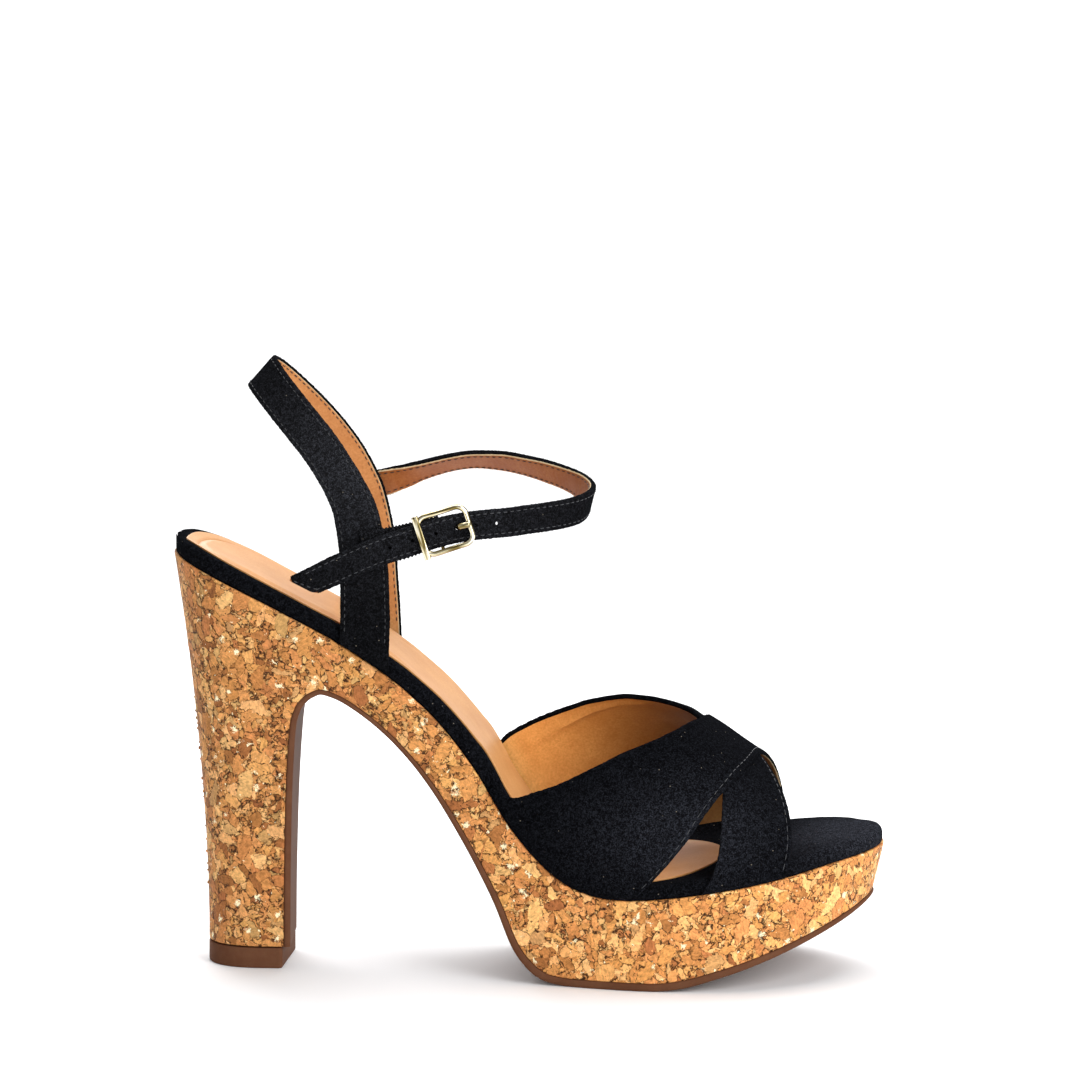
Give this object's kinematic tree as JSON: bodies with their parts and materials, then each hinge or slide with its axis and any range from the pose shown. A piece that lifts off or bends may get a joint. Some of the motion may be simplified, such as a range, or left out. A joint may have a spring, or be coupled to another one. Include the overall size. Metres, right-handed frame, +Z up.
{
  "type": "block heel sandal",
  "caption": "Platform sandal on a cork block heel, with crossed suede vamp straps, a back strap and a buckled ankle strap, for the right foot",
  "frame": {"origin": "On the floor, under the middle of the sandal's bounding box", "axes": "+X to the toe, +Y to the inner side of the right foot, +Z up"},
  "size_m": [0.204, 0.0842, 0.1745],
  "materials": {
    "cork": "pressed cork granules with gold flecks, sealed",
    "rubber": "smooth brown rubber, satin",
    "suede": "black microsuede with a tan lining",
    "sock": "smooth tan sock, padded",
    "gold": "pale gold plating, polished"
  },
  "bodies": {
    "root": {"platform_heel": "cork", "outsole": "rubber", "top_piece": "rubber", "footbed": "suede", "sock": "sock", "upper": "suede", "back_strap": "suede", "ankle_strap": "suede", "buckle_tab": "suede", "buckle_frame": "gold", "buckle_prong": "gold"}
  },
  "joints": []
}
